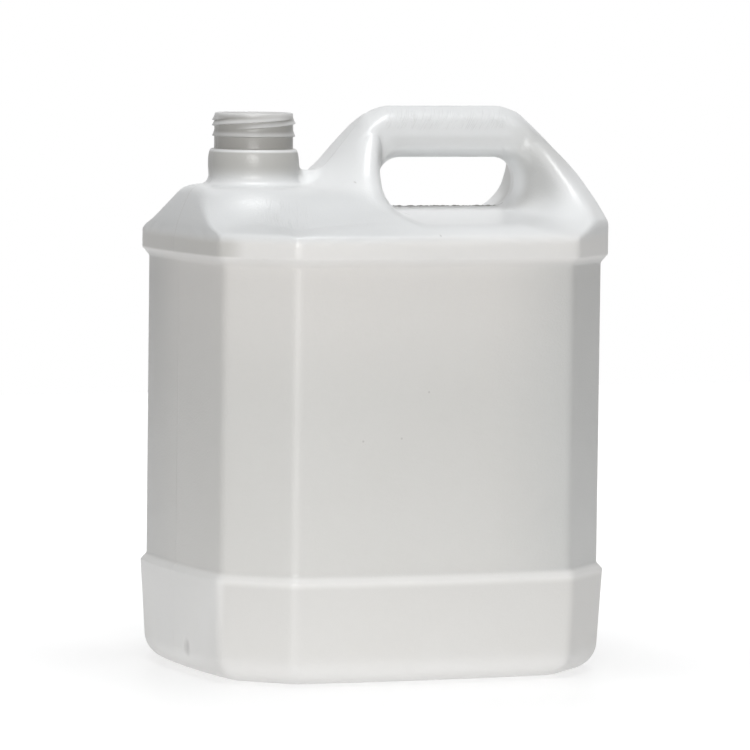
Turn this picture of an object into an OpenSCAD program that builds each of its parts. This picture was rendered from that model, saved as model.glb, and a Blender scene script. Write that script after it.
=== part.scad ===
// Five-litre blow-moulded jerrycan with a hollow handle and an open threaded neck.
// One moulded piece. X runs along the handle with the neck at the low end, Y is the
// depth, and the two mould halves meet at Y = 0. It stands on Z = 0.

/* [Body] */
// Width of the label panel, measured at its corners
body_w = 182; // [170:1:196]
// Depth of the label panel, measured at its corners
body_d = 147; // [138:1:158]
// How much of the width and depth each corner chamfer takes
corner = 25; // [20:1:30]
// How far the two end faces bow out at their middle
end_bow = 3; // [1:0.5:5]
// How far the front and back faces bow out at their middle
side_bow = 3; // [1:0.5:5]
// Height of the sharp ledge under the shoulder
ledge_z = 187.5; // [160:0.5:220]
// Thickness of the moulded wall
wall = 1.2; // [1:0.1:1.8]

/* [Base band] */
// Height of the band around the foot
band_h = 46; // [34:1:60]
// How far the band stands out from the panel
band_out = 2.6; // [1:0.1:4]
// Height of the sloping step from the band to the panel
band_step = 2.8; // [1.5:0.1:6]
// How far the band draws in towards the foot
band_taper = 2; // [0:0.25:3]
// Radius of the foot's rounded edge
foot_r = 13; // [8:1:18]
// Width of the rim that the can stands on
rim_w = 7; // [4:1:12]
// How far the middle of the base is raised
push_up = 3; // [1:0.5:6]

/* [Shoulder] */
// How far the skirt of the shoulder overhangs the panel
skirt_out = 3; // [1.6:0.1:4]
// Height of the sloping step under the skirt
ledge_step = 3; // [1.5:0.1:6]
// Height of the upright part of the skirt
skirt_h = 6.7; // [4:0.1:10]
// Radius of the edge between the skirt and the slopes
edge_r = 5; // [4:0.5:8]
// Rise of the front and back slopes at the skirt, in degrees
side_slope = 24.5; // [22:0.5:27]
// Rise of the slopes over the two corners beside the neck, in degrees
neck_corner_slope = 21; // [18:1:25]
// Rise of the slopes over the two corners below the handle, in degrees
rear_corner_slope = 43; // [40:1:47]
// Height of the flat around the neck above the ledge
flat_h = 30.5; // [28:0.5:32]
// Radius of the flat around the neck
flat_r = 31; // [29:1:33]

/* [Handle] */
// Height of the handle's top above the ledge
handle_h = 66; // [63:0.5:70]
// Where the straight top of the handle starts, next to the neck
handle_from = -3; // [-6:0.5:1]
// Where the straight top of the handle ends
handle_to = 68.5; // [65:0.5:69.5]
// Depth of the handle bar from front to back
bar_d = 28; // [25:1:31]
// Height of the handle bar
bar_h = 23.3; // [21:0.1:24.5]
// Slope of the handle's leg beside the neck, in degrees
neck_leg = 50.7; // [47:0.1:54]
// Slope of the handle's rear leg at its top, in degrees
rear_leg = 40; // [38:1:43]
// Height above the ledge of the two legs, level with the sides of the bar
leg_h = 59.5; // [57:0.5:61]
// Fall of the two legs towards the front and back, in degrees
leg_slope = 45; // [42:1:48]

/* [Finger hole] */
// Where the hole starts at the parting line, next to the neck leg
hole_from = -1; // [-3:0.5:2]
// Where the hole ends at the parting line
hole_to = 69; // [66:0.5:70]
// Height of the hole's floor above the ledge
floor_h = 20.5; // [18.5:0.5:22.5]
// Corner radius of the hole at the parting line
hole_r = 10.5; // [7:0.5:10.5]
// How far the hole's start moves to the neck at the front and back
neck_flare = 17; // [13:1:18]
// How far the hole's end moves away from the neck there
rear_flare = 12; // [8:1:13]
// How far the floor falls towards the front and back
floor_fall = 6.8; // [5:0.2:8]
// Corner radius of the floor at the front and back
scoop_r = 16; // [12:1:18]
// Thickness of the wall around the finger hole
hole_wall = 1.9; // [1.5:0.1:2.4]

/* [Neck] */
// Distance of the neck's axis from the middle of the can
neck_x = 59; // [57:0.5:60]
// Diameter of the collar below the thread
collar_dia = 40.8; // [39:0.1:43]
// Height of the collar's top above the flat
collar_h = 16; // [13:0.5:19]
// Diameter of the neck between the thread ridges
neck_dia = 35.4; // [34.4:0.1:36.4]
// Height of the neck above its collar
neck_h = 16.3; // [14:0.1:20]
// Diameter of the ring that holds a tamper band
bead_dia = 37.2; // [37:0.1:37.8]
// Height of that ring's flat underside above the collar
bead_z = 5.7; // [4:0.1:7]
// Bore of the mouth
mouth_dia = 31; // [28:0.1:32]

/* [Hidden] */

half_w = body_w / 2;
half_d = body_d / 2;
diag = half_w + half_d - corner;
flat_z = ledge_z + flat_h;
top_z = ledge_z + handle_h;
edge_z = ledge_z + skirt_h;
floor_z = ledge_z + floor_h;
bar_z = top_z - bar_h / 2;
collar_z = flat_z + collar_h;
rim_z = collar_z + neck_h;

ledge_bevel = 0.9;          // small bevel on the ledge's outer corner
corner_power = 140;         // sharpness of the eight upright corners
corner_step = 2.2;          // degrees between the points that round a corner
blend = 7;                  // size of the soft blends between the slopes
bar_blend = 3;              // size of the blend between the bar and the slopes
neck_bend = 12;             // size of the bend at the handle's end beside the neck
rear_bend = 5.5;            // the same at the rear end
bend_start = 18;            // distance along the bar at which one bend starts to give way to the other
bend_ramp = 30;             // length over which it does
rear_bow = 0.0215;          // how fast the rear leg steepens downwards
end_drop = 1;               // how much lower the rounded end beside the neck starts
leg_foot = 14;              // size of the hollow between the neck leg and the flat
leg_inset = 8;              // how far inside the bar's ends the legs' own roof starts
leg_ramp = 16;              // length over which it takes over
fade_depth = 14;            // distance inside the skirt at which the blends have their full size
saddle_h = 6.6;             // height above the flat of the saddle between collar and neck leg
saddle_off = 27;            // its distance from the neck's axis
saddle_half = 8;            // half of its length
saddle_bow = 0.055;         // how fast it falls towards the front and back
ridge_from = 52;            // depth from which the slopes steepen towards the bar
ridge_gain = 0.0065;        // how fast they steepen
flank_bow = 0.0095;         // how fast the neck leg curves back from the parting line
rise_power = 0.656;         // shape of the tall rounded end beside the neck
rise_gain = 5.8;            // millimetres of rise in the first millimetre of that end
rear_gain = 8;              // the same for the lower part of the rear end
rear_lift = 3;              // extra height of the skirt's upright part at the rear
corner_lift = 6.5;          // the same at the two rear corners
boss_slope = 46;            // side slope of the raised flat around the neck, in degrees
flat_end = 10;              // where the flat stops below the handle
flat_fall = 4;              // how steeply it drops there
loop_end = 84;              // how far the loop around the handle reaches along the can
loop_power = 1.2;           // spreads its points, closer together at the two ends
hole_open = 7;              // rise of the hole's roof per millimetre beyond the bar
head_room = 4;              // height of the hole's cutter above the handle
edge_share = 0.3;           // drop of the inner surface at the skirt, in wall thicknesses
slope_share = 0.4;          // extra drop of the inner surface under the slopes
leg_share = 2.3;            // drop of the inner surface under the neck leg
rear_share = 1.8;           // the same under the rear leg
bore_fn = 72;

// Soft minimum and maximum of two heights, with a blend of size k
function soft_min(a, b, k) = min(a, b) - pow(max(k - abs(a - b), 0), 2) / (4 * k);
function soft_max(a, b, k) = -soft_min(-a, -b, k);

// Plan outline: the eight faces as distances from the centre, joined by a power mean
// that rounds the corners. out is the distance outside the panel.
first_corner = atan2(half_d - corner, half_w);
second_corner = atan2(half_d, half_w - corner);
side_turn = 90 - second_corner;
quarter = [
    0, first_corner * 0.2, first_corner * 0.42, first_corner * 0.75,
    first_corner - corner_step, first_corner, first_corner + corner_step,
    (first_corner + second_corner) / 2,
    second_corner - corner_step, second_corner, second_corner + corner_step,
    second_corner + side_turn * 0.3, second_corner + side_turn * 0.6, second_corner + side_turn * 0.86
];
turns = [for (q = [0:3]) for (i = [0:len(quarter) - 1])
    q % 2 == 0 ? q * 90 + quarter[i] : (i == 0 ? q * 90 : (q + 1) * 90 - quarter[len(quarter) - i])];

function bow(amount, reach, half) = amount * max(0, 1 - pow(reach / half, 2));
function face_pull(c, d) = c > 0.05 ? pow(c * half_w / d, corner_power) : 0;
function plan_radius(a, out) = let(
    c = abs(cos(a)), s = abs(sin(a)),
    end_d = half_w + out + bow(end_bow, c > 0.05 ? half_w * s / c : 999, half_d - corner),
    side_d = half_d + out + bow(side_bow, s > 0.05 ? half_d * c / s : 999, half_w - corner),
    diag_d = diag / sqrt(2) + out
) half_w * pow(face_pull(c, end_d) + face_pull(s, side_d) + face_pull((c + s) / sqrt(2), diag_d),
               -1 / corner_power);
function plan_ring(out, z) = [for (a = turns) let(r = plan_radius(a, out)) [r * cos(a), r * sin(a), z]];

// Height of a rounded edge that runs into a slope, at a distance e inside the skirt
function edge_rise(e, slope) = let(
    r = edge_r, reach = r * (1 - sin(slope)), d = max(e, 0)
) d < reach ? sqrt(max(0, r * r - pow(r - d, 2))) : r * cos(slope) + (d - reach) * tan(slope);

function smooth_step(t) = let(k = max(0, min(1, t))) k * k * (3 - 2 * k);

// Height of the shoulder, neck flat and handle over a point of the plan. t is the
// distance that the surface is moved inwards, so t = wall gives the inner surface.
function dome_z(x, y, t) = let(
    end_in = half_w + skirt_out - t + bow(end_bow, y, half_d - corner) - abs(x),
    side_in = half_d + skirt_out - t + bow(side_bow, x, half_w - corner) - abs(y),
    diag_in = diag / sqrt(2) + skirt_out - t - (abs(x) + abs(y)) / sqrt(2),
    base = edge_z - t * edge_share,
    near = max(0.05, min(1, min(end_in, side_in, diag_in) / fade_depth)),
    k = blend * near,
    ridge = ridge_gain * pow(max(0, ridge_from - max(abs(y), bar_d / 2)), 2),
    slope = base + edge_rise(side_in, side_slope) - t * slope_share,
    wide = ledge_z + leg_h - t / cos(leg_slope) - (abs(y) - bar_d / 2) * tan(leg_slope),
    leg_share_x = smooth_step((max(handle_from - x, x - handle_to) + leg_inset) / leg_ramp),
    side = (slope + ridge) * (1 - leg_share_x) + soft_max(slope, wide, bar_blend) * leg_share_x,
    bar_half = bar_d / 2 - t,
    bar = abs(y) < bar_half ? bar_z + (bar_h / 2 - t) * sqrt(1 - pow(y / bar_half, 2)) : 0,
    roof = soft_max(side, bar, bar_blend),
    boss = flat_z - t - tan(boss_slope) * (norm([x + neck_x, y]) - flat_r + t),
    neck_diag = soft_max(base + edge_rise(diag_in, neck_corner_slope) - t * slope_share, boss, blend),
    saddle_in = max(0, abs(x + neck_x - saddle_off) - saddle_half),
    saddle = flat_z + saddle_h - t - saddle_bow * y * y - saddle_in * flat_fall,
    rear_diag = base + corner_lift + edge_rise(diag_in, rear_corner_slope) - t * slope_share,
    neck_end = base - end_drop + rise_gain * pow(max(end_in, 0), rise_power),
    rear_end = base + rear_lift + rear_gain * pow(max(end_in, 0), rise_power),
    neck_leg_z = top_z - (handle_from - x + flank_bow * y * y) * tan(neck_leg) - t * leg_share,
    past = x - handle_to,
    rear_leg_z = top_z - past * tan(rear_leg) - rear_bow * pow(max(0, past), 2) - t * rear_share,
    flat = flat_z - t - max(0, x - flat_end) * flat_fall,
    neck_part = soft_min(soft_min(flat, neck_diag, k), neck_end, k),
    rear_part = soft_min(soft_min(rear_leg_z, rear_diag, k), rear_end, k),
    legs = x < (handle_from + handle_to) / 2 ? neck_leg_z : rear_part,
    middle = soft_max(soft_max(legs, neck_part, leg_foot), saddle, bar_blend),
    bend = neck_bend + (rear_bend - neck_bend) * smooth_step((x - handle_from - bend_start) / bend_ramp)
) max(base, soft_min(middle, roof, bend * near));

// Rings of the dome run from the skirt to a loop under the handle bar (0 to 1), then
// over the bar to a narrow strip along its top (1 to 2)
dome_steps = [0, 0.005, 0.011, 0.02, 0.032, 0.05, 0.07, 0.093, 0.12, 0.15, 0.19, 0.23, 0.28, 0.34,
              0.4, 0.46, 0.52, 0.58, 0.64, 0.7, 0.76, 0.82, 0.88, 0.94, 1,
              1.12, 1.26, 1.42, 1.6, 1.78, 1.94];
function loop_point(a, s, t) = [
    sign(cos(a)) * loop_end * (1 - pow(asin(abs(sin(a))) / 90, loop_power)),
    (bar_d / 2 - t) * max(-1, min(1, sin(a) * 3)) * cos(90 * max(0, s - 1))
];
function dome_ring(s, t) = [for (a = turns) let(
    r = plan_radius(a, skirt_out - t), p = loop_point(a, s, t), k = min(s, 1),
    x = r * cos(a) * (1 - k) + p.x * k, y = r * sin(a) * (1 - k) + p.y * k
) [x, y, dome_z(x, y, t)]];

// Closes a stack of rings into one solid. The last ring is closed across, point to
// point, since it may bend.
function closing_faces(rows, n) = let(top = (rows - 1) * n) [for (i = [0:n / 2 - 1])
    each [if (i + 1 < n - i - 1) [top + n - i - 1, top + i + 1, top + i],
          if (i > 0) [top + n - i, top + n - i - 1, top + i]]];
function stack_faces(rows, n) = concat(
    [[for (i = [0:n - 1]) i]],
    [for (r = [0:rows - 2]) for (i = [0:n - 1]) let(j = (i + 1) % n, a = r * n, b = (r + 1) * n)
        each [[a + i, b + i, b + j], [a + i, b + j, a + j]]],
    closing_faces(rows, n)
);
module ring_stack(rings) {
    n = len(rings[0]);
    polyhedron(points = [for (r = rings) each r], faces = stack_faces(len(rings), n), convexity = 8);
}

// Foot, band and panel as [distance outside the panel, height], moved inwards by t
foot_turns = [0, 18, 36, 54, 72, 90];
foot_out = band_out - band_taper;
function body_profile(t) = concat(
    [[foot_out - foot_r - rim_w - push_up * 2, push_up + t],
     [foot_out - foot_r - rim_w, t]],
    [for (a = foot_turns) [foot_out - foot_r + (foot_r - t) * sin(a), foot_r - (foot_r - t) * cos(a)]],
    [[band_out - t, band_h],
     [-t, band_h + band_step],
     [-t, ledge_z - ledge_step],
     [skirt_out - ledge_bevel - t, ledge_z + t * edge_share],
     [skirt_out - t, ledge_z + ledge_bevel + t * edge_share],
     [skirt_out - t, edge_z - t * edge_share]]
);
// The inner surface takes every other ring of the dome
module skin(t) {
    rings = t > 0 ? [2:2:len(dome_steps) - 1] : [1:len(dome_steps) - 1];
    ring_stack(concat(
        [for (p = body_profile(t)) plan_ring(p[0], p[1])],
        [for (i = rings) dome_ring(dome_steps[i], t)]
    ));
}

// Finger hole. Its section is narrow at the parting line and opens to the front and back.
// m is the distance that its surface is moved outwards.
reach_y = half_d + skirt_out + side_bow + 4;
corner_turns = [for (k = [0:5]) k * 18];
hole_shares = [0, 0.3, 0.5, 0.68, 0.82, 0.92, 0.98];
hole_offsets = [0, 1, 2.5, 5, 10, 20, 34, 50];
function hole_section(y, m) = let(
    f = abs(y) / reach_y,
    flare = 1 - pow(1 - f, 2),
    bar_half = bar_d / 2 - m,
    inside = abs(y) < bar_half,
    start = hole_from - neck_flare * flare - m,
    end = hole_to + rear_flare * flare + m,
    low = floor_z - floor_fall * f - m,
    arch = bar_z - (bar_h / 2 - m) * sqrt(max(0, 1 - pow(y / bar_half, 2))),
    high = inside ? arch : bar_z + (abs(y) - bar_half) * hole_open,
    low_r = min(hole_r + (scoop_r - hole_r) * f + m, (high - low) / 2 - 0.05),
    high_r = min(hole_r + high - bar_z + bar_h / 2, high - low - low_r - 0.05),
    centre_z = high - high_r,
    tall = min(high_r, top_z + head_room - centre_z),
    up = [for (k = corner_turns) tall * sin(k)],
    inset = [for (h = up) min(high_r - sqrt(max(0, high_r * high_r - h * h)), (end - start) * 0.48)],
    n = len(up) - 1
) concat(
    [for (k = corner_turns) [end - low_r + low_r * sin(k), y, low + low_r - low_r * cos(k)]],
    [for (i = [0:n]) [end - inset[i], y, centre_z + up[i]]],
    [for (i = [n:-1:0]) [start + inset[i], y, centre_z + up[i]]],
    [for (k = corner_turns) [start + low_r - low_r * cos(k), y, low + low_r - low_r * sin(k)]]
);
module hole(m) {
    bar_half = bar_d / 2 - m;
    stations = concat([for (k = hole_shares) k * bar_half], [for (k = hole_offsets) bar_half + k], [reach_y]);
    ring_stack([for (k = [len(stations) - 1:-1:1]) hole_section(stations[k], m),
                for (y = stations) hole_section(-y, m)]);
}

// Collar, neck and tamper ring, all round the neck's axis
module neck_body() {
    collar_r = collar_dia / 2;
    neck_r = neck_dia / 2;
    core_r = mouth_dia / 2 - 1;
    ring_z = collar_z + bead_z;
    translate([-neck_x, 0, 0]) rotate_extrude($fn = bore_fn) polygon([
        [core_r, flat_z - 3],
        [collar_r + 4, flat_z - 3],
        [collar_r + 4, flat_z - 0.6],
        [collar_r + 1.6, flat_z + 1.2],
        [collar_r + 0.4, flat_z + 4],
        [collar_r, flat_z + 7],
        [collar_r, flat_z + 10],
        [collar_r - 0.7, collar_z - 1.2],
        [collar_r - 1.8, collar_z],
        [neck_r, collar_z],
        [neck_r, ring_z],
        [bead_dia / 2, ring_z],
        [bead_dia / 2, ring_z + 0.6],
        [neck_r, ring_z + 2.4],
        [neck_r, rim_z - 0.6],
        [neck_r - 0.6, rim_z],
        [core_r, rim_z]
    ]);
}
module neck_hollow() {
    inner_r = collar_dia / 2 - wall;
    translate([-neck_x, 0, 0]) {
        rotate_extrude($fn = bore_fn) polygon([
            [0, flat_z - 8],
            [inner_r, flat_z - 8],
            [inner_r, collar_z - 5],
            [mouth_dia / 2, collar_z - 2],
            [0, collar_z - 2]
        ]);
        translate([0, 0, collar_z - 3]) cylinder(d = mouth_dia, h = neck_h + 4, $fn = bore_fn);
    }
}

module jerrycan() {
    color([0.90, 0.91, 0.91]) difference() {
        union() {
            difference() {
                skin(0);
                hole(0);
            }
            neck_body();
        }
        difference() {
            skin(wall);
            hole(hole_wall);
        }
        neck_hollow();
    }
}

jerrycan();
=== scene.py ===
import math

import bpy
import numpy as np
from mathutils import Matrix, Vector


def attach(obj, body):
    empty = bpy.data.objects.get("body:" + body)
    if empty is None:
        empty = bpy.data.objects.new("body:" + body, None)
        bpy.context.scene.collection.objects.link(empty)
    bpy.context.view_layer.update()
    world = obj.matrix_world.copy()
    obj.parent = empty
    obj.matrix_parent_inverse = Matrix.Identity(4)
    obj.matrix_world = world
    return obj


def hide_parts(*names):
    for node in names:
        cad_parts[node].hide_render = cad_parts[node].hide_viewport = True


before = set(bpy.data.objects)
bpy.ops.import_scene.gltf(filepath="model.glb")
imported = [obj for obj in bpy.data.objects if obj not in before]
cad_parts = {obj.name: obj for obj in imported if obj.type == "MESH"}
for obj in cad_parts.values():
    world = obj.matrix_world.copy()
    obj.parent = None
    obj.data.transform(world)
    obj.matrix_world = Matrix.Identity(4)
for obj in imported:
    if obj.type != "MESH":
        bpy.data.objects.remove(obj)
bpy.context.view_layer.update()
scene = bpy.context.scene
mm = 0.001


def report(text):
    print("scene:", text, flush=True)


# Shader networks: arithmetic on sockets, everything else through node()
class Maths:
    def __init__(self, net, socket):
        self.net, self.socket = net, socket

    def calc(self, operation, *values, clamp=False):
        return self.net.node("ShaderNodeMath", {"operation": operation, "use_clamp": clamp},
                             dict(enumerate(values)))

    def __add__(self, other): return self.calc("ADD", self, other)
    def __radd__(self, other): return self.calc("ADD", other, self)
    def __sub__(self, other): return self.calc("SUBTRACT", self, other)
    def __rsub__(self, other): return self.calc("SUBTRACT", other, self)
    def __mul__(self, other): return self.calc("MULTIPLY", self, other)
    def __rmul__(self, other): return self.calc("MULTIPLY", other, self)
    def __truediv__(self, other): return self.calc("DIVIDE", self, other)
    def __rtruediv__(self, other): return self.calc("DIVIDE", other, self)
    def __pow__(self, other): return self.calc("POWER", self, other)
    def __neg__(self): return self.calc("MULTIPLY", self, -1.0)
    def __abs__(self): return self.calc("ABSOLUTE", self)
    def low(self, other): return self.calc("MINIMUM", self, other)
    def high(self, other): return self.calc("MAXIMUM", self, other)

    def ramp(self, start, end):
        return self.net.node("ShaderNodeMapRange", {"interpolation_type": "SMOOTHSTEP"},
                             {0: self, 1: start, 2: end, 3: 0.0, 4: 1.0})


class Net:
    def __init__(self, tree):
        self.tree = tree

    def node(self, kind, settings=None, values=None, out=0):
        n = self.tree.nodes.new(kind)
        for key, value in (settings or {}).items():
            setattr(n, key, value)
        for key, value in (values or {}).items():
            if isinstance(value, Maths):
                self.tree.links.new(value.socket, n.inputs[key])
            else:
                n.inputs[key].default_value = value
        return Maths(self, n.outputs[out])

    def mixColour(self, factor, a, b):
        return self.node("ShaderNodeMix", {"data_type": "RGBA"}, {0: factor, 6: a, 7: b}, out=2)

    def noise(self, vector, scale, detail=2.0, roughness=0.5):
        return self.node("ShaderNodeTexNoise", None,
                         {"Vector": vector, "Scale": scale, "Detail": detail, "Roughness": roughness})


# The can's own sizes, in millimetres and degrees
can = {
    # label panel, ledge and skirt
    "halfWidth": 91.0, "halfDepth": 73.5, "corner": 25.0, "endBow": 3.0, "sideBow": 3.0,
    "ledgeHeight": 187.5, "ledgeStep": 3.0, "skirtOut": 3.0, "skirtTop": 194.2,
    # base band and foot
    "bandHeight": 46.0, "bandOut": 2.6, "bandStep": 2.8, "bandTaper": 2.0,
    "footRadius": 13.0, "rimWidth": 7.0, "pushUp": 3.0,
    # slopes of the shoulder
    "edgeRadius": 5.0, "sideSlope": 24.5, "neckCornerSlope": 21.0, "rearCornerSlope": 43.0, "rearCornerLift": 6.5,
    "ridgeFrom": 52.0, "ridgeGain": 0.0065, "risePower": 0.656, "neckEndRise": 5.8, "neckEndDrop": 1.0,
    "rearEndRise": 8.0, "rearEndLift": 3.0,
    # flat and collar around the neck, and the saddle towards the handle
    "flatHeight": 218.0, "flatRadius": 31.0, "flatEnd": 10.0, "flatFall": 4.0, "bossSlope": 46.0,
    "neckX": -59.0, "collarRadius": 20.0, "collarSwell": 0.4,
    "saddleHeight": 224.6, "saddleWidth": 0.055, "saddleX": -32.0, "saddleHalf": 8.0,
    # handle: its bar and its two legs
    "topHeight": 253.5, "handleFrom": -3.0, "handleTo": 68.5, "barDepth": 28.0, "barHeight": 23.3,
    "neckLeg": 50.7, "flankBow": 0.0095, "rearLeg": 40.0, "rearLegBow": 0.0215,
    "legShoulder": 247.0, "legSlope": 45.0, "legFrom": 6.0, "legTo": 58.0, "legRamp": 16.0, "legSplit": 30.0,
    # finger hole
    "holeFrom": 1.0, "holeTo": 68.0, "holeReach": 83.5, "floorHeight": 208.0, "floorFall": 6.8,
    "holeRadius": 10.5, "scoopRadius": 16.0, "neckFlare": 17.0, "rearFlare": 12.0, "holeOpen": 7.0,
    # heights at which the modelled top meets the turned neck and the rings of the body
    "collarCut": 231.0, "skirtCut": 192.0,
}
# How softly the forms run into each other, in millimetres
softness = {
    "slopes": 7.0, "bar": 3.0, "neckBend": 12.0, "rearBend": 5.5, "bendFrom": 15.0, "bendLength": 30.0,
    "legFoot": 14.0, "holeLow": 2.5, "holeHigh": 11.0, "liftFrom": (203.0, 45.0), "liftOver": (20.0, 25.0),
    "collar": 5.0, "uprights": 2.0, "fadeUprights": 1.6, "fadeDepth": 14.0, "fadeLeast": 0.05,
}
mesh = {"cell": 1.0, "rounds": 5, "ringPoints": 480, "neckPoints": 240}


def softMin(a, b, k):
    return np.minimum(a, b) - np.maximum(k - np.abs(a - b), 0) ** 2 / (4 * k)


def softMax(a, b, k):
    return -softMin(-a, -b, k)


def bow(amount, reach, half):
    return amount * np.maximum(0, 1 - (reach / half) ** 2)


def planInside(x, y, out):
    # distance inside the outline that stands out from the panel, at its eight faces
    c = can
    end = c["halfWidth"] + out + bow(c["endBow"], y, c["halfDepth"] - c["corner"]) - np.abs(x)
    side = c["halfDepth"] + out + bow(c["sideBow"], x, c["halfWidth"] - c["corner"]) - np.abs(y)
    diag = (c["halfWidth"] + c["halfDepth"] - c["corner"] - np.abs(x) - np.abs(y)) / math.sqrt(2) + out
    return end, side, diag


def edgeRise(inside, slope):
    r, a = can["edgeRadius"], math.radians(slope)
    reach, d = r * (1 - math.sin(a)), np.maximum(inside, 0)
    return np.where(d < reach, np.sqrt(np.maximum(0, r * r - (r - d) ** 2)),
                    r * math.cos(a) + (d - reach) * math.tan(a))


def smooth(t):
    t = np.clip(t, 0, 1)
    return t * t * (3 - 2 * t)


def tan(degrees):
    return math.tan(math.radians(degrees))


def domeHeight(x, y):
    # height of the shoulder, the flat around the neck and the handle over a point
    c, s = can, softness
    end, side, diag = planInside(x, y, c["skirtOut"])
    halfBar, barZ = c["barDepth"] / 2, c["topHeight"] - c["barHeight"] / 2
    base = c["skirtTop"]
    outside = np.maximum(c["legFrom"] - x, x - c["legTo"])   # how far past the bar's ends
    ridge = c["ridgeGain"] * np.maximum(0, c["ridgeFrom"] - np.maximum(np.abs(y), halfBar)) ** 2
    slope = base + edgeRise(side, c["sideSlope"])
    wide = c["legShoulder"] - (np.abs(y) - halfBar) * tan(c["legSlope"])
    slope = slope + ridge + (softMax(slope, wide, s["bar"]) - slope - ridge) * smooth(outside / c["legRamp"])
    bar = np.where(np.abs(y) < halfBar,
                   barZ + c["barHeight"] / 2 * np.sqrt(np.maximum(0, 1 - (y / halfBar) ** 2)), 0)
    roof = softMax(slope, bar, s["bar"])
    boss = c["flatHeight"] - tan(c["bossSlope"]) * (np.hypot(x - c["neckX"], y) - c["flatRadius"])
    neckDiag = softMax(base + edgeRise(diag, c["neckCornerSlope"]), boss, s["slopes"])
    rearDiag = base + c["rearCornerLift"] + edgeRise(diag, c["rearCornerSlope"])
    neckEnd = base - c["neckEndDrop"] + c["neckEndRise"] * np.maximum(end, 0) ** c["risePower"]
    rearEnd = base + c["rearEndLift"] + c["rearEndRise"] * np.maximum(end, 0) ** c["risePower"]
    neckLeg = c["topHeight"] - (c["handleFrom"] - x + c["flankBow"] * y * y) * tan(c["neckLeg"])
    past = x - c["handleTo"]
    rearLeg = c["topHeight"] - past * tan(c["rearLeg"]) - c["rearLegBow"] * np.maximum(0, past) ** 2
    flat = c["flatHeight"] - np.maximum(0, x - c["flatEnd"]) * c["flatFall"]
    fade = s["fadeUprights"]
    near = softMin(softMin(end, side, fade), diag, fade) / s["fadeDepth"]
    near = np.clip(near, s["fadeLeast"], 1)   # blends fade out at the skirt
    k = s["slopes"] * near
    neckPart = softMin(softMin(flat, neckDiag, k), neckEnd, k)
    rearPart = softMin(softMin(rearLeg, rearDiag, k), rearEnd, k)
    legs = np.where(x < c["legSplit"], neckLeg, rearPart)
    middle = softMax(legs, neckPart, s["legFoot"])
    aside = np.maximum(0, np.abs(x - c["saddleX"]) - c["saddleHalf"])
    saddle = c["saddleHeight"] - c["saddleWidth"] * y * y - c["flatFall"] * aside
    middle = softMax(middle, saddle, s["bar"])
    bend = s["neckBend"] + (s["rearBend"] - s["neckBend"]) * smooth((x - s["bendFrom"]) / s["bendLength"])
    return np.maximum(base, softMin(middle, roof, bend * near))


def holeField(x, y, z):
    # signed distance, nearly, to the finger hole: negative inside it
    c = can
    share = np.abs(y) / c["holeReach"]
    halfBar, barZ = c["barDepth"] / 2, c["topHeight"] - c["barHeight"] / 2
    flare = 1 - (1 - share) ** 2
    start = c["holeFrom"] - c["neckFlare"] * flare
    end = c["holeTo"] + c["rearFlare"] * flare
    low = c["floorHeight"] - c["floorFall"] * share
    arch = barZ - c["barHeight"] / 2 * np.sqrt(np.maximum(0, 1 - (y / halfBar) ** 2))
    high = np.where(np.abs(y) < halfBar, arch, barZ + (np.abs(y) - halfBar) * c["holeOpen"])
    lowR = c["holeRadius"] + (c["scoopRadius"] - c["holeRadius"]) * share
    lowR = np.minimum(lowR, (high - low) / 2 - 0.05)
    highR = np.minimum(c["holeRadius"] + high - barZ + c["barHeight"] / 2, high - low - lowR - 0.05)
    middle = low + lowR + (high - low - lowR - highR) / 2
    r = np.where(z > middle, highR, lowR)
    dx = np.abs(x - (start + end) / 2) - ((end - start) / 2 - r)
    dz = np.where(z > middle, z - (high - r), (low + r) - z)
    return np.hypot(np.maximum(dx, 0), np.maximum(dz, 0)) + np.minimum(np.maximum(dx, dz), 0) - r


def evened(field, step):
    # the field divided by its own steepness, so that it is close to a distance
    gx, gy, gz = np.gradient(field, step)
    return field / np.maximum(np.sqrt(gx ** 2 + gy ** 2 + gz ** 2), 0.35)


def topField(x, y, z, step):
    c, s = can, softness
    end, side, diag = planInside(x, y, c["skirtOut"])
    inside = softMin(softMin(end, side, s["uprights"]), diag, s["uprights"])
    body = np.maximum(evened(z - domeHeight(x, y)[:, :, None] * np.ones_like(z), step), -inside[:, :, None]
                      * np.ones_like(z))
    fromNeck = np.hypot(x - c["neckX"], y)[:, :, None]
    swell = np.sin(np.clip((z - c["flatHeight"] - 4) / 12, 0, 1) * math.pi)
    collar = np.maximum(fromNeck - c["collarRadius"] - c["collarSwell"] * swell, 205 - z)
    body = softMin(body, collar, s["collar"])
    hole = evened(holeField(x[:, :, None], y[:, :, None], z), step)
    (lowZ, lowX), (overZ, overX) = s["liftFrom"], s["liftOver"]   # the hole's edge is rounder higher and further back
    lift = np.clip((z - lowZ) / overZ + np.clip((x[:, :, None] - lowX) / overX, 0, 1), 0, 1)
    return softMax(body, -hole, s["holeLow"] + (s["holeHigh"] - s["holeLow"]) * lift)


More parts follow.
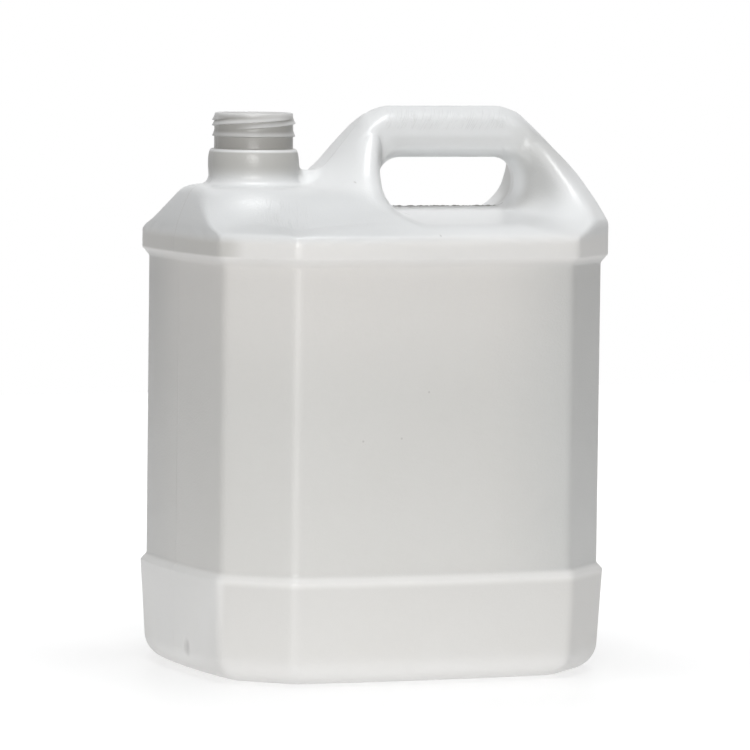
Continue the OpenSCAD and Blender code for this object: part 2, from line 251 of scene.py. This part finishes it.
def surfaceNet(field, low, step):
    # quads around the zero level: one vertex in each cell that the surface crosses
    inside = field < 0
    nx, ny, nz = field.shape
    total = np.zeros((nx - 1, ny - 1, nz - 1, 3))
    crossings = np.zeros((nx - 1, ny - 1, nz - 1))
    corner = np.indices((nx, ny, nz)).astype(float)
    for axis in range(3):
        a = [slice(None)] * 3
        b = [slice(None)] * 3
        a[axis], b[axis] = slice(0, -1), slice(1, None)
        fa, fb = field[tuple(a)], field[tuple(b)]
        crossed = inside[tuple(a)] != inside[tuple(b)]
        share = np.where(crossed, fa / np.where(crossed, fa - fb, 1), 0)
        place = [corner[d][tuple(a)] + (share if d == axis else 0) for d in range(3)]
        others = [d for d in range(3) if d != axis]
        for u in (0, 1):
            for v in (0, 1):
                cut = [slice(None)] * 3
                cut[others[0]] = slice(u, (None if u else -1))
                cut[others[1]] = slice(v, (None if v else -1))
                cut = tuple(cut)
                crossings += crossed[cut]
                for d in range(3):
                    total[..., d] += np.where(crossed[cut], place[d][cut], 0)
    active = crossings > 0
    index = -np.ones(active.shape, int)
    index[active] = np.arange(active.sum())
    points = total[active] / crossings[active][:, None] * step + np.array(low)
    cells = np.argwhere(active)
    quads = []
    for axis in range(3):
        u, v = [(1, 2), (2, 0), (0, 1)][axis]
        a = [slice(1, -1)] * 3
        b = [slice(1, -1)] * 3
        a[axis], b[axis] = slice(0, -1), slice(1, None)
        ia, ib = inside[tuple(a)], inside[tuple(b)]
        where = np.argwhere(ia != ib)
        flip = ia[ia != ib]
        where[:, [d for d in range(3) if d != axis]] += 1
        du, dv = np.eye(3, dtype=int)[u], np.eye(3, dtype=int)[v]
        ring = [where - du - dv, where - dv, where, where - du]
        ids = np.stack([index[tuple(r.T)] for r in ring], 1)
        ids[~flip] = ids[~flip][:, ::-1]
        quads.append(ids)
    return points, np.concatenate(quads), cells


def sampled(field, low, step, points):
    # field and its slope at the points, by straight interpolation
    p = (points - np.array(low)) / step
    i = np.clip(np.floor(p).astype(int), 0, np.array(field.shape) - 2)
    f = p - i
    value = np.zeros(len(points))
    slope = np.zeros((len(points), 3))
    for dx in (0, 1):
        for dy in (0, 1):
            for dz in (0, 1):
                v = field[i[:, 0] + dx, i[:, 1] + dy, i[:, 2] + dz]
                wx, wy, wz = (f[:, 0] if dx else 1 - f[:, 0]), (f[:, 1] if dy else 1 - f[:, 1]), \
                    (f[:, 2] if dz else 1 - f[:, 2])
                value += v * wx * wy * wz
                slope[:, 0] += v * (1 if dx else -1) * wy * wz
                slope[:, 1] += v * (1 if dy else -1) * wx * wz
                slope[:, 2] += v * (1 if dz else -1) * wx * wy
    return value, slope / step


def relaxed(points, quads, fixed, field, low, step, rounds):
    # evens the points out and puts them back on the surface
    n = len(points)
    pairs = np.concatenate([quads[:, [k, (k + 1) % 4]] for k in range(4)])
    pairs = np.concatenate([pairs, pairs[:, ::-1]])
    counts = np.bincount(pairs[:, 0], minlength=n).astype(float)
    for _ in range(rounds):
        mean = np.stack([np.bincount(pairs[:, 0], points[pairs[:, 1], d], n) for d in range(3)], 1)
        moved = points + 0.6 * (mean / np.maximum(counts, 1)[:, None] - points)
        for _ in range(2):
            value, slope = sampled(field, low, step, moved)
            moved = moved - (value / np.maximum((slope ** 2).sum(1), 0.05))[:, None] * slope * 0.9
        points = np.where(fixed[:, None], points, moved)
    return points


def planRing(out, height, count):
    # the panel's outline moved out, as points at even angles
    angles = np.arange(count) / count * 2 * math.pi
    lo, hi = np.zeros(count), np.full(count, 200.0)
    for _ in range(40):   # the radius at which the soft distance is zero
        mid = (lo + hi) / 2
        end, side, diag = planInside(mid * np.cos(angles), mid * np.sin(angles), out)
        k = softness["uprights"]
        inside = softMin(softMin(end, side, k), diag, k) > 0
        lo, hi = np.where(inside, mid, lo), np.where(inside, hi, mid)
    r = (lo + hi) / 2
    return np.stack([r * np.cos(angles), r * np.sin(angles), np.full(count, float(height))], 1)


def bodyProfile():
    # foot, band, panel and ledge as [distance outside the panel, height]
    c = can
    footOut = c["bandOut"] - c["bandTaper"]
    r = c["footRadius"]
    rows = [(footOut - r - c["rimWidth"] - 30, c["pushUp"]), (footOut - r - c["rimWidth"] - 6, c["pushUp"]),
            (footOut - r - c["rimWidth"], 0.4), (footOut - r - c["rimWidth"] + 1, 0), (footOut - r - 1, 0)]
    rows += [(footOut - r + r * math.sin(a), r - r * math.cos(a)) for a in np.radians(np.arange(0, 91, 7.5))]
    rows += [(footOut + (c["bandOut"] - footOut) * s, r + (c["bandHeight"] - r) * s)
             for s in (0.2, 0.4, 0.6, 0.8, 0.93, 0.975)]
    top = c["bandHeight"]
    rows += [(c["bandOut"] - 0.05, top - 0.25), (c["bandOut"] - 0.28, top + 0.2),
             (c["bandOut"] * 0.52, top + c["bandStep"] * 0.5), (0.22, top + c["bandStep"] - 0.25),
             (0.02, top + c["bandStep"] + 0.35), (0, top + c["bandStep"] + 1.2)]
    rows += [(0, top + c["bandStep"] + 1.2 + k * (c["ledgeHeight"] - top - 12) / 12) for k in range(1, 12)]
    ledge = c["ledgeHeight"]
    rows += [(0, ledge - c["ledgeStep"] - 1.2), (0.03, ledge - c["ledgeStep"] - 0.35),
             (0.3, ledge - c["ledgeStep"] + 0.25), (c["skirtOut"] * 0.5, ledge - c["ledgeStep"] * 0.42),
             (c["skirtOut"] - 0.75, ledge - 0.2), (c["skirtOut"] - 0.25, ledge + 0.15),
             (c["skirtOut"] - 0.02, ledge + 0.8), (c["skirtOut"], ledge + 1.6), (c["skirtOut"], c["skirtCut"] - 1.2)]
    return rows


thread = {"starts": (100.0, 220.0, 340.0), "turn": 232.0, "firstHeight": 243.2, "lead": 7.4,
          "height": 1.15, "above": 2.3, "below": 0.3, "root": 17.7}


def threadBump(angle, z):
    # how far the thread stands out of the neck at an angle in degrees
    bump = np.zeros_like(angle + z)
    for start in thread["starts"]:
        for turn in (-360, 0):
            along = angle - start - turn
            crest = thread["firstHeight"] + thread["lead"] * along / 360
            d = z - crest
            shape = np.where(d >= 0, 1 - d / thread["above"], 1 + d / thread["below"])
            fade = np.clip(along / 40, 0, 1) * np.clip((thread["turn"] - along) / 45, 0, 1)
            bump = np.maximum(bump, np.clip(shape, 0, 1) * fade * thread["height"])
    return bump


def neckRows():
    # collar top, neck with its ring and thread, rim and bore, as rows of points
    n = mesh["neckPoints"]
    degrees = np.arange(n) / n * 360
    outer = [(20.12, 231.6), (19.95, 232.4), (19.7, 233.2), (19.35, 233.8), (18.9, 234.1), (18.3, 234.2),
             (17.9, 234.25), (17.72, 234.5), (17.7, 235.2), (17.7, 237.5), (17.7, 239.3), (17.75, 239.6),
             (18.45, 239.7), (18.6, 239.85), (18.55, 240.15), (18.2, 241.0), (17.85, 241.9), (17.72, 242.4)]
    rows = [(np.full(n, r), z) for r, z in outer]
    for z in np.arange(242.6, 249.55, 0.22):
        rows.append((thread["root"] - 0.15 * (z - 242) / 8 + threadBump(degrees, z), z))
    rows += [(np.full(n, r), z) for r, z in
             [(17.5, 249.8), (17.35, 250.1), (17.0, 250.28), (16.4, 250.3), (15.9, 250.25), (15.6, 250.0),
              (15.5, 249.5), (15.5, 245), (15.5, 240), (15.5, 234), (15.6, 232.6), (16.2, 231.6), (17.6, 230.4),
              (18.6, 229), (18.9, 226), (18.9, 220), (18.9, 214)]]
    a = np.radians(degrees)
    return [np.stack([can["neckX"] + r * np.cos(a), r * np.sin(a), np.full(n, z)], 1) for r, z in rows]


flashLine = {"from": 1.0, "to": 68.0, "step": 0.8, "thick": 0.3, "height": (0.10, 0.50), "foot": 207.8}


def flashRows(rng):
    # a thin torn ridge along the parting line on the floor of the finger hole
    f = flashLine
    xs = np.arange(f["from"], f["to"], f["step"])
    tops = can["floorHeight"] + rng.uniform(*f["height"], len(xs)) * np.where(rng.random(len(xs)) < 0.25, 0.2, 1)
    half = f["thick"] / 2
    return [np.stack([xs, np.full(len(xs), y), z], 1) for y, z in
            [(-half, np.full(len(xs), f["foot"])), (-half * 0.4, tops), (half * 0.4, tops),
             (half, np.full(len(xs), f["foot"]))]]


def borders(quads):
    # loops of point numbers along the open edges of a quad mesh
    edges = np.concatenate([quads[:, [k, (k + 1) % 4]] for k in range(4)])
    both = {tuple(e) for e in edges.tolist()}
    after = {a: b for a, b in both if (b, a) not in both}
    loops = []
    while after:
        first, b = after.popitem()
        loop = [first]
        while b != first:
            loop.append(b)
            b = after.pop(b)
        loops.append(loop)
    return loops


def zipLoops(points, lower, upper, centre):
    # triangles between two loops of point numbers that both run round the centre
    def turns(ids):
        p = points[ids]
        a = np.unwrap(np.arctan2(p[:, 1] - centre[1], p[:, 0] - centre[0]))
        if a[-1] < a[0]:
            ids, a = ids[::-1], a[::-1]
        a = a % (2 * math.pi)
        first = int(np.argmin(a))
        ids, a = np.roll(ids, -first), np.unwrap(np.roll(a, -first))
        return ids, np.maximum.accumulate(a)
    lower, la = turns(np.array(lower))
    upper, ua = turns(np.array(upper))
    faces, i, j = [], 0, 0
    while i < len(lower) or j < len(upper):
        nextLow = 99 if i == len(lower) else la[i + 1] if i + 1 < len(lower) else la[0] + 2 * math.pi
        nextUp = 99 if j == len(upper) else ua[j + 1] if j + 1 < len(upper) else ua[0] + 2 * math.pi
        a, b = lower[i % len(lower)], upper[j % len(upper)]
        if nextLow <= nextUp:
            faces.append((a, lower[(i + 1) % len(lower)], b))
            i += 1
        else:
            faces.append((a, upper[(j + 1) % len(upper)], b))
            j += 1
    return faces


def buildCan():
    c, step = can, mesh["cell"]
    low = (-100.5, -83.5, c["skirtCut"] - 0.5 * step)
    xs, ys = np.arange(low[0], 101, step), np.arange(low[1], 84, step)
    zs = np.arange(low[2], 257, step)
    x, y = np.meshgrid(xs, ys, indexing="ij")
    z = zs[None, None, :] * np.ones((len(xs), len(ys), 1))
    field = topField(x, y, z, step)
    points, quads, cells = surfaceNet(field, low, step)
    # the neck above the collar's cut is left out, for the turned rows
    top = (cells[:, 2] + 0.5) * step + low[2]
    aside = np.hypot((cells[:, 0] + 0.5) * step + low[0] - c["neckX"], (cells[:, 1] + 0.5) * step + low[1])
    gone = (aside < 24) & (top > c["collarCut"])
    quads = quads[~gone[quads].any(1)]
    loopUp, loopLow = sorted(borders(quads), key=lambda loop: -points[loop, 2].mean())
    loopUp, loopLow = np.array(loopUp), np.array(loopLow)
    points[loopUp, 2] = c["collarCut"]
    away = points[loopUp, :2] - np.array([c["neckX"], 0])
    r = np.hypot(away[:, 0], away[:, 1])
    points[loopUp, :2] = np.array([c["neckX"], 0]) + away / r[:, None] * 20.2
    points[loopLow, 2] = c["skirtCut"]
    fixed = np.zeros(len(points), bool)
    fixed[loopUp] = fixed[loopLow] = True
    used = np.unique(quads)
    points = relaxed(points, quads, fixed, field, low, step, mesh["rounds"])
    number = -np.ones(len(points), int)
    number[used] = np.arange(len(used))
    points, quads = points[used], number[quads]
    loopUp, loopLow = number[loopUp], number[loopLow]
    report(f"top surface {len(points)} points")

    # foot, band, panel and ledge as rings
    n = mesh["ringPoints"]
    rings = [planRing(out, height, n) for out, height in bodyProfile()]
    bodyStart = len(points)
    neck = neckRows()
    m = mesh["neckPoints"]
    neckStart = bodyStart + n * len(rings)
    centre = np.array([[0, 0, c["pushUp"]]])
    flash = flashRows(np.random.default_rng(4))
    flashStart = neckStart + m * len(neck)
    allPoints = np.concatenate([points] + rings + neck + flash + [centre])
    faces = [tuple(q) for q in quads]

    def ringFaces(start, rows, count):
        for k in range(rows - 1):
            a, b = start + k * count, start + (k + 1) * count
            for i in range(count):
                j = (i + 1) % count
                faces.append((a + i, a + j, b + j, b + i))
    ringFaces(bodyStart, len(rings), n)
    ringFaces(neckStart, len(neck), m)
    across = len(flash[0])
    for k in range(3):
        a, b = flashStart + k * across, flashStart + (k + 1) * across
        faces.extend((a + i, a + i + 1, b + i + 1, b + i) for i in range(across - 1))
    last = len(allPoints) - 1
    faces.extend((last, bodyStart + (i + 1) % n, bodyStart + i) for i in range(n))
    topRing = list(range(bodyStart + n * (len(rings) - 1), bodyStart + n * len(rings)))
    faces.extend(zipLoops(allPoints, topRing, loopLow, (0, 0)))
    faces.extend(zipLoops(allPoints, loopUp, list(range(neckStart, neckStart + m)), (c["neckX"], 0)))
    data = bpy.data.meshes.new("can")
    data.from_pydata([tuple(p) for p in (allPoints * mm).tolist()], [], [list(map(int, f)) for f in faces])
    data.validate()
    data.shade_smooth()
    made = bpy.data.objects.new("can", data)
    scene.collection.objects.link(made)
    report(f"can has {sum(len(f) - 2 for f in faces)} triangles")
    return made


# Milky polyethylene: a diffuse skin that also lets light through from the other side.
# Where the wall is thin over the dark inside it looks greyer, so each zone has its own tint of painted light and
# shade.
plastic = {
    "panel": (0.775, 0.770, 0.750, 1), "panelTopGlow": (0.880, 0.862, 0.838, 1), "panelRightShade": (0.650, 0.662, 0.658, 1),
    "leftEndShade": (0.610, 0.612, 0.600, 1),
    "foot": (0.860, 0.855, 0.845, 1), "band": (0.810, 0.802, 0.784, 1), "bandEdgeHighlight": (0.980, 0.975, 0.960, 1),
    "bandEndLight": (0.985, 0.985, 0.975, 1), "skirt": (0.985, 0.975, 0.960, 1), "skirtEndShade": (0.740, 0.730, 0.705, 1),
    "shoulder": (0.950, 0.965, 0.975, 1), "neckSlopeShade": (0.815, 0.832, 0.843, 1), "scoopShade": (0.700, 0.705, 0.700, 1),
    "collar": (0.590, 0.587, 0.566, 1), "collarHighlight": (0.960, 0.965, 0.970, 1),
    "neck": (0.420, 0.412, 0.392, 1), "ridges": (0.720, 0.720, 0.715, 1), "rim": (0.800, 0.800, 0.795, 1),
    "cloud": (0.860, 0.865, 0.860, 1), "seamShade": (0.700, 0.700, 0.690, 1), "flash": (0.340, 0.340, 0.330, 1),
    "scratch": (0.70, 0.71, 0.72, 1), "nick": (0.45, 0.45, 0.44, 1), "speck": (0.35, 0.34, 0.33, 1),
    "through": (0.62, 0.60, 0.57, 1), "share": 0.16, "roughness": 0.30, "specular": 0.42,
    "coat": 0.12, "coatRoughness": 0.17, "grain": 900.0, "grainDepth": 0.8,
}
# Heights in metres between which one zone of painted light and shade gives way to the next
zones = {
    "foot": (0.016, 0.004), "band": (0.0460, 0.0425), "bandEdgeHighlight": (0.0495, 0.0470), "panelTopGlow": (0.120, 0.184),
    "skirt": (0.1842, 0.1880), "skirtEndShade": (0.1880, 0.1890), "shoulder": (0.1935, 0.2005),
    "collar": (0.2185, 0.2270), "collarHighlight": (0.2324, 0.2334), "neck": (0.2338, 0.2343),
    "ridges": (0.2390, 0.2410), "rim": (0.2475, 0.2500),
}
# Soft spots on the can, in metres: centre, stretch along each axis, and where each fades out and is full
spots = {
    # the first two spots are painted shade in the finger hole
    "scoopShade": ((0.074, 0, 0.222), (1, 2.4, 1.9), (0.020, 0.008)),
    "neckPillarShade": ((-0.004, 0, 0.224), (1, 2.6, 1.8), (0.012, 0.004)),
    "neckScratches": ((-0.062, -0.055, 0.208), (1, 1.6, 0.6), (0.017, 0.008)),
    # the nick is a dent whose darker tint is painted shade
    "nick": ((-0.0942, -0.0144, 0.0125), (1.0, 1.7, 1.9), (0.0028, 0.0006)),
}
# Marks: how strong the nick, specks, scratches and seam are; specks on the front as (x, height) in metres
marks = {
    # nickStrength and seamStrength set how dark their painted shade is
    "nickStrength": 0.3, "nickDepth": 4.0,
    "specks": [(0, 0.1983), (0.0043, 0.2059), (-0.0230, 0.2202), (-0.0224, 0.2316), (-0.0043, 0.1293),
               (-0.0170, 0.1090), (-0.0350, 0.1080)],
    "speckStrength": 0.35, "scratchStrength": 0.35, "scratchDepth": 1.2, "seamStrength": 0.35, "seamDepth": 1.2,
}


def canMaterial():
    material = bpy.data.materials.new("milkyPlastic")
    material.use_nodes = True
    tree = material.node_tree
    tree.nodes.clear()
    net = Net(tree)
    place = net.node("ShaderNodeTexCoord", out=3)
    x, y, z = [net.node("ShaderNodeSeparateXYZ", None, {0: place}, out=k) for k in range(3)]
    cloud = net.noise(place, 22.0, 3.0, 0.55)

    def away(cx, cy, cz, wide=1.0, deep=1.0, tall=1.0):
        # distance from a point, in metres, with a stretch for each axis
        dx, dy, dz = (x - cx) / wide, (y - cy) / deep, (z - cz) / tall
        return (dx * dx + dy * dy + dz * dz) ** 0.5

    def spot(name):
        centre, stretch, (far, close) = spots[name]
        return away(*centre, *stretch).ramp(far, close)

    # the panel, then the zones above it and below it, by height in metres
    # painted light: the panel grows lighter towards the shoulder
    colour = net.mixColour(z.ramp(*zones["panelTopGlow"]), plastic["panel"], plastic["panelTopGlow"])
    # painted shade: the panel darker towards the right
    colour = net.mixColour(x.ramp(0.020, 0.080) * 0.75, colour, plastic["panelRightShade"])
    # painted shade: the left end darker towards the back
    colour = net.mixColour(y.ramp(-0.010, 0.045) * x.ramp(-0.07, -0.09), colour, plastic["leftEndShade"])
    # painted highlight along the step at the band's top
    colour = net.mixColour(z.ramp(*zones["bandEdgeHighlight"]), colour, plastic["bandEdgeHighlight"])
    # painted light: band and foot lighter towards the floor
    colour = net.mixColour(z.ramp(*zones["band"]), colour, plastic["band"])
    colour = net.mixColour(z.ramp(*zones["foot"]), colour, plastic["foot"])
    # painted light: the band lighter on both end faces
    colour = net.mixColour(z.ramp(*zones["bandEdgeHighlight"]) * abs(x).ramp(0.0895, 0.0940), colour, plastic["bandEndLight"])
    # painted light: the skirt glows with light coming through the shoulder
    colour = net.mixColour(z.ramp(*zones["skirt"]), colour, plastic["skirt"])
    # painted shade: the skirt darker at the left end
    colour = net.mixColour(z.ramp(*zones["skirtEndShade"]) * x.ramp(-0.084, -0.092), colour, plastic["skirtEndShade"])
    # painted light: shoulder and handle lighter, facing the light from above
    colour = net.mixColour(z.ramp(*zones["shoulder"]), colour, plastic["shoulder"])
    # painted shade: the shoulder around the neck toned down
    colour = net.mixColour(z.ramp(0.1935, 0.2000) * z.ramp(0.2190, 0.2130) * x.ramp(0.015, -0.035), colour,
                           plastic["neckSlopeShade"])
    # painted shade in the finger hole beside the rear leg
    colour = net.mixColour(spot("scoopShade") * abs(y).ramp(0.004, 0.012),
                           colour, plastic["scoopShade"])
    # painted shade in the finger hole beside the neck's leg
    colour = net.mixColour(spot("neckPillarShade") * abs(y).ramp(0.004, 0.012) * 0.6,
                           colour, plastic["scoopShade"])
    # painted shade along the underside of the handle's bar
    colour = net.mixColour(abs(z - 0.2375).ramp(0.004, 0.001) * abs(x - 0.032).ramp(0.034, 0.026) * 0.35, colour,
                           plastic["scoopShade"])
    fromNeck = ((x + 0.059) * (x + 0.059) + y * y) ** 0.5
    atNeck = fromNeck.ramp(0.0235, 0.0205) * z.ramp(*zones["collar"])
    # painted shade: the collar darker
    colour = net.mixColour(atNeck, colour, plastic["collar"])
    # painted highlight along the collar's top edge
    colour = net.mixColour(atNeck * z.ramp(*zones["collarHighlight"]), colour, plastic["collarHighlight"])
    # painted shade: the neck darker still
    colour = net.mixColour(atNeck * z.ramp(*zones["neck"]), colour, plastic["neck"])
    # painted light on the thread's crests and ring
    colour = net.mixColour(atNeck * z.ramp(*zones["ridges"]) * fromNeck.ramp(0.0176, 0.0184), colour,
                           plastic["ridges"])
    # painted light: the rim lighter on top
    colour = net.mixColour(atNeck * z.ramp(*zones["rim"]), colour, plastic["rim"])
    colour = net.mixColour(cloud.ramp(0.35, 0.65) * 0.10, colour, plastic["cloud"])
    # the seam where the mould halves met with painted shade beside it, and torn flash along the floor of the finger
    # hole, painted dark as shade
    seam = abs(y).ramp(0.0007, 0.0003)
    # painted shade along one side of the raised seam
    shade = abs(y + 0.0012).ramp(0.0008, 0.0002) * z.ramp(0.188, 0.190) * x.ramp(0, -0.02)
    colour = net.mixColour(shade * marks["seamStrength"], colour, plastic["seamShade"])
    # painted shade: the flash ridge coloured dark
    flash = abs(y).ramp(0.0004, 0.0003) * abs(z - 0.2085).ramp(0.0012, 0.0006) * x.ramp(-0.002, 0.002) \
        * x.ramp(0.072, 0.066)
    colour = net.mixColour(flash, colour, plastic["flash"])
    # nick, specks, and fine scratches on the neck corner and the handle's top
    nick = spot("nick")
    # painted shade darkening the dent
    colour = net.mixColour(nick * marks["nickStrength"], colour, plastic["nick"])
    for cx, cz in marks["specks"]:
        colour = net.mixColour(away(cx, -0.06, cz, 1, 90, 1).ramp(0.0007, 0.0003) * marks["speckStrength"],
                               colour, plastic["speck"])
    across = x * 0.85 - z * 0.5
    along = x * 0.5 + z * 0.85
    streaks = net.noise(net.node("ShaderNodeCombineXYZ", None, {0: across * 2200.0, 1: along * 90.0}), 1.0, 2.0)
    scratched = spot("neckScratches") \
        + abs(x - 0.030).ramp(0.034, 0.026) * abs(z - 0.2475).ramp(0.0055, 0.003)
    colour = net.mixColour(streaks.ramp(0.45, 0.36) * scratched * marks["scratchStrength"], colour,
                           plastic["scratch"])
    # fine blasted texture
    grain = net.noise(place, plastic["grain"], 3.0, 0.6)
    height = grain * plastic["grainDepth"] + seam * marks["seamDepth"] - nick * marks["nickDepth"]
    height = height + streaks.ramp(0.55, 0.66) * scratched * marks["scratchDepth"]
    bump = net.node("ShaderNodeBump", None, {"Strength": 0.5, "Distance": 0.0003, "Height": height})
    skin = net.node("ShaderNodeBsdfPrincipled", None, {
        "Base Color": colour, "Roughness": plastic["roughness"], "Specular IOR Level": plastic["specular"],
        "Coat Weight": plastic["coat"], "Coat Roughness": plastic["coatRoughness"], "Normal": bump})
    through = net.node("ShaderNodeBsdfTranslucent", None, {"Color": plastic["through"], "Normal": bump})
    mix = net.node("ShaderNodeMixShader", None, {0: plastic["share"], 1: skin, 2: through})
    out = tree.nodes.new("ShaderNodeOutputMaterial")
    tree.links.new(mix.socket, out.inputs[0])
    return material


jerrycan = buildCan()
jerrycan.data.materials.append(canMaterial())
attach(jerrycan, "root")
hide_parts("jerrycan")
report("can is built")

# Pale floor that glows softly under the can; the camera sees it and the backdrop as white
studio = {
    "floor": (0.45, 0.45, 0.45, 1), "reach": 1.6, "ambient": 0.05, "seen": 1.0,
    "glow": 0.56, "glowReach": 0.55,                                  # light that comes off the floor
    "lift": 0.53, "liftFar": 0.80, "liftReach": (0.13, 0.38),         # brightness that only the camera sees
}


def lightPath(net):
    # 1 for what the camera sees, also in a reflection or through a surface
    def seen(out):
        return net.node("ShaderNodeLightPath", out=out)
    return seen(0).high(seen(3)).high(seen(6))


def buildWorld():
    world = bpy.data.worlds.new("studio")
    scene.world = world
    world.use_nodes = True
    tree = world.node_tree
    net = Net(tree)
    background = tree.nodes["Background"]
    background.inputs[0].default_value = (1, 1, 1, 1)
    strength = lightPath(net) * (studio["seen"] - studio["ambient"]) + studio["ambient"]
    tree.links.new(strength.socket, background.inputs[1])


def buildFloor():
    reach = studio["reach"]
    data = bpy.data.meshes.new("floor")
    data.from_pydata([(-reach, -reach, 0), (reach, -reach, 0), (reach, reach, 0), (-reach, reach, 0)], [],
                     [(0, 1, 2, 3)])
    floor = bpy.data.objects.new("floor", data)
    scene.collection.objects.link(floor)
    material = bpy.data.materials.new("floorPaint")
    material.use_nodes = True
    tree = material.node_tree
    net = Net(tree)
    base = tree.nodes["Principled BSDF"]
    base.inputs["Base Color"].default_value = studio["floor"]
    base.inputs["Roughness"].default_value = 0.5
    place = net.node("ShaderNodeTexCoord", out=3)
    away = net.node("ShaderNodeVectorMath", {"operation": "LENGTH"}, {0: place}, out=1)
    glow = away.ramp(studio["glowReach"], 0.0) * studio["glow"]
    lift = away.ramp(*studio["liftReach"]) * (studio["liftFar"] - studio["lift"]) + studio["lift"]
    seen = lightPath(net)
    light = net.node("ShaderNodeEmission", None, {"Color": glow + (lift - glow) * seen, "Strength": 1.0})
    both = net.node("ShaderNodeAddShader", None, {0: Maths(net, base.outputs[0]), 1: light})
    tree.links.new(both.socket, tree.nodes["Material Output"].inputs[0])
    floor.data.materials.append(material)


buildWorld()
buildFloor()


def areaLamp(name, place, aim, size, power, colour=(1, 1, 1)):
    light = bpy.data.lights.new(name, "AREA")
    light.shape = "RECTANGLE"
    light.size, light.size_y = size
    light.energy = power
    light.color = colour
    lamp = bpy.data.objects.new(name, light)
    lamp.location = place
    direction = np.array(aim) - np.array(place)
    flat = math.hypot(direction[0], direction[1])
    lamp.rotation_euler = (math.atan2(flat, -direction[2]), 0, math.atan2(direction[1], direction[0]) - math.pi / 2)
    scene.collection.objects.link(lamp)
    return lamp


# place, aim, size, watts and colour
lamps = {
    "overhead": ((0, -0.1, 2.0), (0, 0, 0.15), (0.9, 0.7), 20.4, (0.98, 0.99, 1.0)),
    "front": ((-0.95, -2.3, 0.75), (0, 0, 0.15), (1.2, 1.0), 38.5, (1.0, 0.995, 0.985)),
}
for name, (place, aim, size, power, colour) in lamps.items():
    areaLamp(name, place, aim, size, power, colour)
report("floor and lamps are in")

# The photograph's view
view = {"azimuth": 22.23, "elevation": 4.0, "roll": 0.69, "distance": 2.73544, "focal": 6040.46,
        "target": (0.0, 0.0, 0.130), "shift": (1.02 * mm, 1.53 * mm)}


def buildCamera():
    az, el, roll = (math.radians(view[k]) for k in ("azimuth", "elevation", "roll"))
    back = Vector((-math.sin(az) * math.cos(el), -math.cos(az) * math.cos(el), math.sin(el)))
    right = Vector((math.cos(az), -math.sin(az), 0))
    up = back.cross(right)
    place = Vector(view["target"]) + back * view["distance"] + right * view["shift"][0] + up * view["shift"][1]
    c, s = math.cos(roll), math.sin(roll)
    turnedRight, turnedUp = right * c + up * s, up * c - right * s
    camera = bpy.data.cameras.new("camera")
    camera.sensor_width = 36.0
    camera.lens = view["focal"] / 750 * 36.0
    camera.clip_end = 50
    made = bpy.data.objects.new("camera", camera)
    made.matrix_world = Matrix((
        (turnedRight.x, turnedUp.x, back.x, place.x),
        (turnedRight.y, turnedUp.y, back.y, place.y),
        (turnedRight.z, turnedUp.z, back.z, place.z), (0, 0, 0, 1)))
    scene.collection.objects.link(made)
    scene.camera = made


buildCamera()
scene.view_settings.view_transform = "Standard"

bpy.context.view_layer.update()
report("done")
